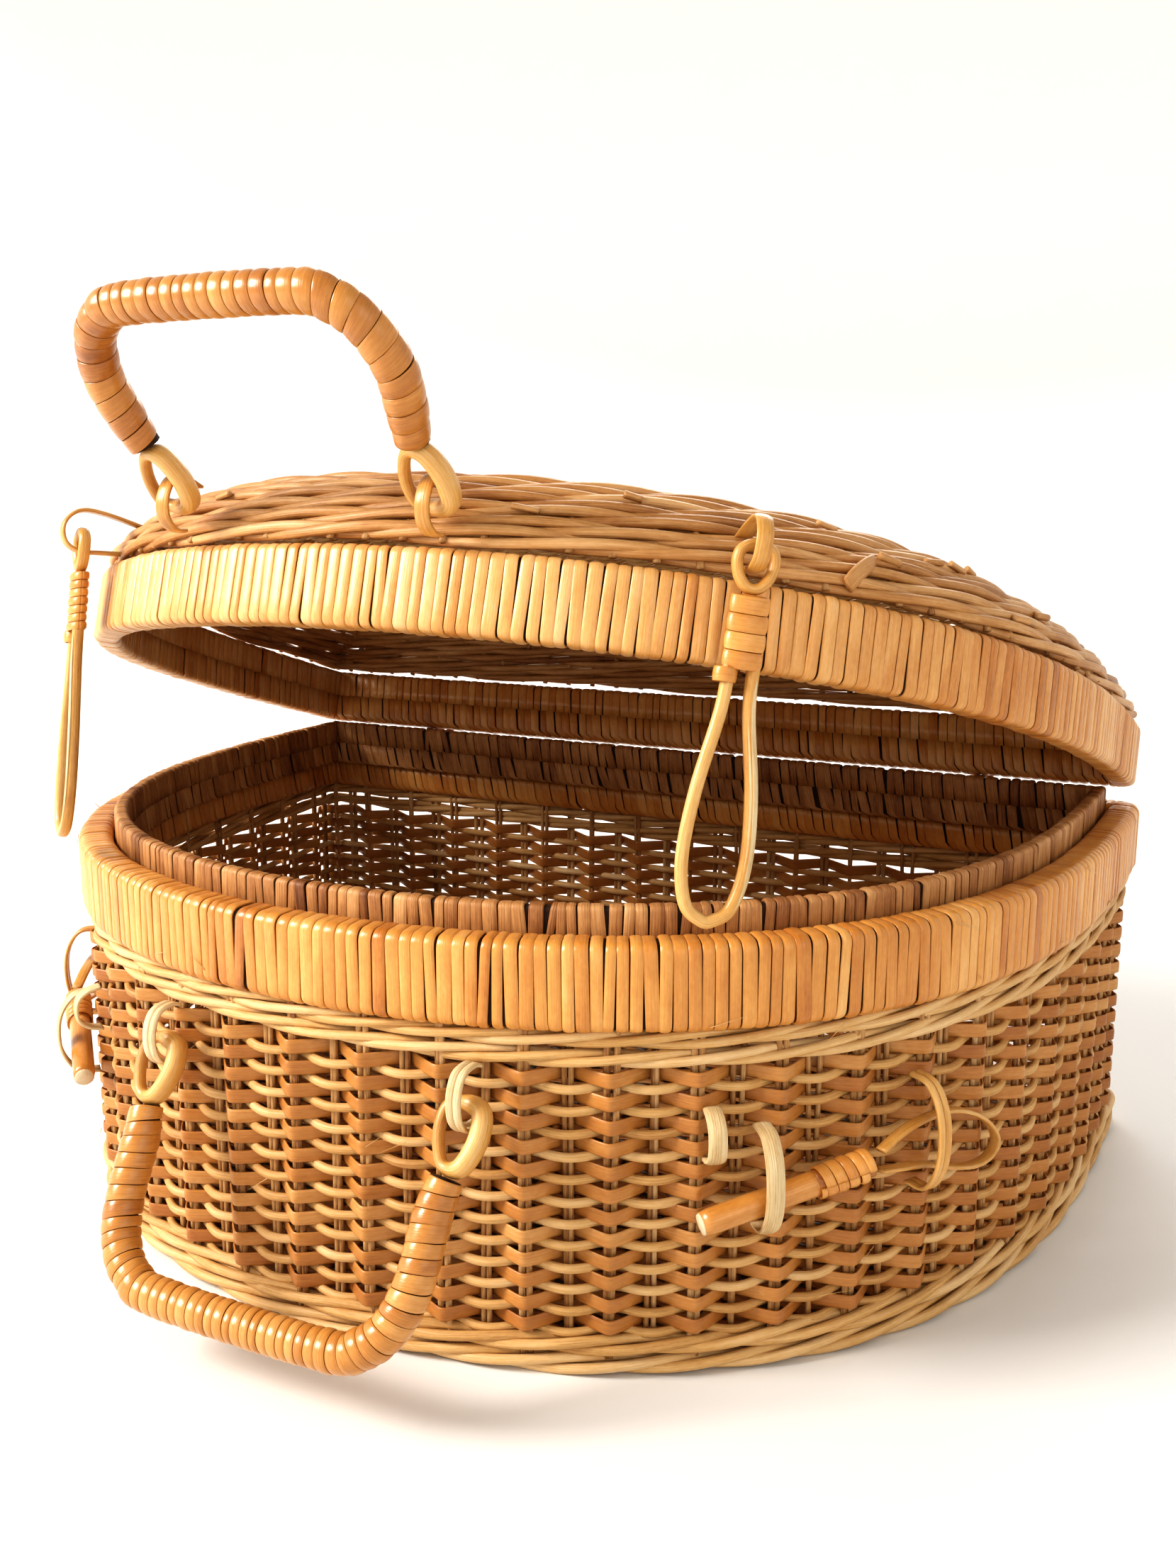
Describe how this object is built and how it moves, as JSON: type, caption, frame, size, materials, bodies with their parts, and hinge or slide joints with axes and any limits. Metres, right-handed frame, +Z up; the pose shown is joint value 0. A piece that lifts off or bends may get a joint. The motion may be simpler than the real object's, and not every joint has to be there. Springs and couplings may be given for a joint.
{
  "type": "storage containers, crates and drums",
  "caption": "Woven cane hamper with a D-shaped plan, a domed lid on cane lashings, wrapped carrying handles, loop hasps and tethered pegs.",
  "frame": {"origin": "centre of the flat underside: half way across the width and half way from the straight back edge to the front of the curve", "axes": "+X to the right of someone facing the curved front, +Y towards the straight hinged back, +Z up"},
  "size_m": [0.5, 0.4196, 0.39],
  "materials": {
    "handle_binding": "glossy",
    "rim_binding": "glossy",
    "pith_binding": "matte",
    "pale_rods": "satin",
    "brown_weave": "satin",
    "peeled_strip": "matte",
    "split_cane": "satin"
  },
  "bodies": {
    "basket": {"floor_panel": "brown_weave", "foot_wale": "pale_rods", "wall_weave": "brown_weave", "rim_wale": "pale_rods", "rim_hoop": "rim_binding", "lip_hoop": "pith_binding", "base_handle_ring_left": "split_cane", "base_handle_ring_right": "split_cane", "inner_staple_left": "peeled_strip", "outer_staple_left": "peeled_strip", "tether_ring_left": "peeled_strip", "hinge_lashing_base_left": "pith_binding", "inner_staple_right": "peeled_strip", "outer_staple_right": "peeled_strip", "tether_ring_right": "peeled_strip", "hinge_lashing_base_right": "pith_binding"},
    "lid": {"lid_rim_hoop": "rim_binding", "lid_side_wale": "pale_rods", "lid_top_panel": "brown_weave", "lid_handle_ring_left": "split_cane", "hasp_ring_left": "split_cane", "hinge_lashing_lid_left": "pith_binding", "lid_handle_ring_right": "split_cane", "hasp_ring_right": "split_cane", "hinge_lashing_lid_right": "pith_binding"},
    "base_handle": {"base_handle_grip": "handle_binding", "base_handle_eye_left": "split_cane", "base_handle_eye_right": "split_cane"},
    "lid_handle": {"lid_handle_grip": "handle_binding", "lid_handle_eye_left": "split_cane", "lid_handle_eye_right": "split_cane"},
    "hasp_left": {"hasp_eye_left": "split_cane", "hasp_binding_left": "rim_binding", "hasp_loop_left": "split_cane"},
    "peg_left": {"peg_left": "handle_binding", "peg_binding_left": "rim_binding", "peg_loop_left": "split_cane"},
    "hasp_right": {"hasp_eye_right": "split_cane", "hasp_binding_right": "rim_binding", "hasp_loop_right": "split_cane"},
    "peg_right": {"peg_right": "handle_binding", "peg_binding_right": "rim_binding", "peg_loop_right": "split_cane"}
  },
  "joints": [
    {"name": "lid_hinge", "type": "hinge", "parent": "basket", "child": "lid", "pos_m": [0, 0.18675, 0.168], "axis": [-1, 0, 0], "range_deg": [-16.7, 80]},
    {"name": "base_handle_hinge", "type": "hinge", "parent": "basket", "child": "base_handle", "pos_m": [0, -0.176, 0.1085], "axis": [-1, 0, 0], "range_deg": [-20, 116]},
    {"name": "lid_handle_hinge", "type": "hinge", "parent": "lid", "child": "lid_handle", "pos_m": [-0.014, -0.14855, 0.3134], "axis": [-1, 0, 0], "range_deg": [-84, 80]},
    {"name": "hasp_left_hinge", "type": "hinge", "parent": "lid", "child": "hasp_left", "pos_m": [-0.15222, -0.11958, 0.30172], "axis": [-0.8245, 0.5427, -0.1602], "range_deg": [0, 100]},
    {"name": "hasp_right_hinge", "type": "hinge", "parent": "lid", "child": "hasp_right", "pos_m": [0.15222, -0.11958, 0.30172], "axis": [-0.8245, -0.5427, 0.1602], "range_deg": [0, 100]},
    {"name": "peg_left_slide", "type": "slide", "parent": "basket", "child": "peg_left", "axis": [-0.714, 0.6658, 0.2164], "range_m": [-0.004, 0.02]},
    {"name": "peg_right_slide", "type": "slide", "parent": "basket", "child": "peg_right", "axis": [0.714, 0.6658, 0.2164], "range_m": [-0.004, 0.02]}
  ]
}
